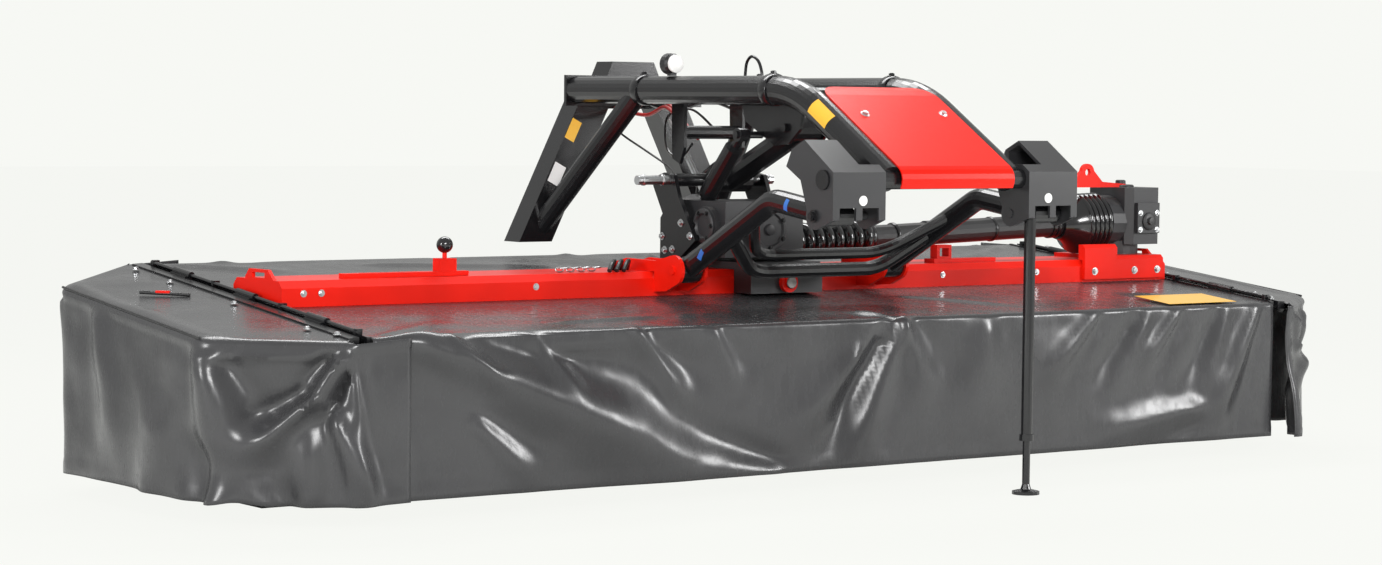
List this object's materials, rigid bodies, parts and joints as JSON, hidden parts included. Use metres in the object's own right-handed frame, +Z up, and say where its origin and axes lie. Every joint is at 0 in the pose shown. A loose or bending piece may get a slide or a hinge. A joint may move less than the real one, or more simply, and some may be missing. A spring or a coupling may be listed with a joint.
{
  "type": "front mounted disc mower",
  "caption": "Wide disc mower with a pulled suspension frame, fabric covers, folding side guards, gear-driven cutterbar and parking stand.",
  "frame": {"origin": "on the floor under the middle of the machine's overall box", "axes": "+X across the machine, its long side, -Y the direction of travel, +Y the tractor's side, +Z up"},
  "size_m": [3.7, 1.5154, 1.1366],
  "materials": {
    "red_paint": "gloss red paint",
    "black_paint": "gloss black paint",
    "cover_sheet": "coated dark grey tarpaulin, satin",
    "black_rubber": "moulded black rubber and plastic",
    "cast_iron": "black painted casting",
    "zinc_steel": "zinc plated",
    "worn_steel": "dark forged steel",
    "lamp_lens": "white lens"
  },
  "bodies": {
    "frame": {"centre_bellows": "black_rubber", "centre_bracket": "black_paint", "centre_gearbox": "cast_iron", "coupling_triangle": "black_paint", "cover_frame": "black_paint", "cutterbar": "cast_iron", "drive_column": "black_paint", "front_cross_tube": "black_paint", "front_curtain": "cover_sheet", "front_panel": "red_paint", "front_top_cover": "cover_sheet", "input_guard": "black_rubber", "left_brace": "black_paint", "left_clevis": "red_paint", "left_guard_lever": "red_paint", "left_pull_arm": "black_paint", "left_top_tube": "black_paint", "left_yoke": "black_paint", "lift_cylinder": "black_paint", "lifting_eye": "red_paint", "link_pin": "zinc_steel", "lower_cross_tube": "black_paint", "main_beam": "red_paint", "marker_lamp": "lamp_lens", "mast_gusset": "black_paint", "pendulum_block": "cast_iron", "pendulum_pin": "red_paint", "rear_curtain": "cover_sheet", "rear_top_cover": "cover_sheet", "right_brace": "black_paint", "right_clevis": "red_paint", "right_guard_lever": "red_paint", "right_pull_arm": "black_paint", "right_top_tube": "black_paint", "right_yoke": "black_paint", "shaft_guard_tube": "black_rubber", "side_bellows": "black_rubber", "side_gearbox": "cast_iron", "side_gearbox_base": "red_paint", "stand_post": "black_paint", "top_link": "black_paint", "upper_cross_tube": "black_paint", "valve_bracket": "black_paint"},
    "disc_1": {"cutting_disc_1": "worn_steel"},
    "disc_2": {"cutting_disc_2": "worn_steel"},
    "disc_3": {"cutting_disc_3": "worn_steel"},
    "disc_4": {"cutting_disc_4": "worn_steel"},
    "disc_5": {"cutting_disc_5": "worn_steel"},
    "disc_6": {"cutting_disc_6": "worn_steel"},
    "disc_7": {"cutting_disc_7": "worn_steel"},
    "disc_8": {"cutting_disc_8": "worn_steel"},
    "input_shaft": {"input_shaft": "zinc_steel"},
    "left_guard": {"left_guard_cover": "cover_sheet", "left_guard_frame": "black_paint"},
    "right_guard": {"right_guard_cover": "cover_sheet", "right_guard_frame": "black_paint"},
    "stand_foot": {"stand_foot": "black_paint"}
  },
  "joints": [
    {"name": "left_guard_fold", "type": "hinge", "parent": "frame", "child": "left_guard", "pos_m": [1.52, -0.02343, 0.49632], "axis": [0, -0.9942, -0.1079], "range_deg": [0, 90]},
    {"name": "right_guard_fold", "type": "hinge", "parent": "frame", "child": "right_guard", "pos_m": [-1.52, -0.02343, 0.49632], "axis": [0, 0.9942, 0.1079], "range_deg": [0, 90]},
    {"name": "stand_foot_slide", "type": "slide", "parent": "frame", "child": "stand_foot", "axis": [0, 0, 1], "range_m": [0, 0.105]},
    {"name": "disc_1_spin", "type": "hinge", "parent": "frame", "child": "disc_1", "pos_m": [-1.4455, 0.14765, 0.092], "axis": [0, 0, 1], "continuous": true},
    {"name": "disc_2_spin", "type": "hinge", "parent": "frame", "child": "disc_2", "pos_m": [-1.0325, 0.14765, 0.092], "axis": [0, 0, 1], "continuous": true},
    {"name": "disc_3_spin", "type": "hinge", "parent": "frame", "child": "disc_3", "pos_m": [-0.6195, 0.14765, 0.092], "axis": [0, 0, 1], "continuous": true},
    {"name": "disc_4_spin", "type": "hinge", "parent": "frame", "child": "disc_4", "pos_m": [-0.2065, 0.14765, 0.092], "axis": [0, 0, 1], "continuous": true},
    {"name": "disc_5_spin", "type": "hinge", "parent": "frame", "child": "disc_5", "pos_m": [0.2065, 0.14765, 0.092], "axis": [0, 0, 1], "continuous": true},
    {"name": "disc_6_spin", "type": "hinge", "parent": "frame", "child": "disc_6", "pos_m": [0.6195, 0.14765, 0.092], "axis": [0, 0, 1], "continuous": true},
    {"name": "disc_7_spin", "type": "hinge", "parent": "frame", "child": "disc_7", "pos_m": [1.0325, 0.14765, 0.092], "axis": [0, 0, 1], "continuous": true},
    {"name": "disc_8_spin", "type": "hinge", "parent": "frame", "child": "disc_8", "pos_m": [1.4455, 0.14765, 0.092], "axis": [0, 0, 1], "continuous": true},
    {"name": "input_shaft_spin", "type": "hinge", "parent": "frame", "child": "input_shaft", "pos_m": [0, 0.27765, 0.665], "axis": [0, 1, 0], "continuous": true}
  ],
  "couplings": [
    {"joint": "disc_2_spin", "follows": "disc_1_spin", "ratio": -1},
    {"joint": "disc_3_spin", "follows": "disc_1_spin", "ratio": 1},
    {"joint": "disc_4_spin", "follows": "disc_1_spin", "ratio": -1},
    {"joint": "disc_5_spin", "follows": "disc_1_spin", "ratio": 1},
    {"joint": "disc_6_spin", "follows": "disc_1_spin", "ratio": -1},
    {"joint": "disc_7_spin", "follows": "disc_1_spin", "ratio": 1},
    {"joint": "disc_8_spin", "follows": "disc_1_spin", "ratio": -1},
    {"joint": "input_shaft_spin", "follows": "disc_1_spin", "ratio": 0.3333}
  ]
}
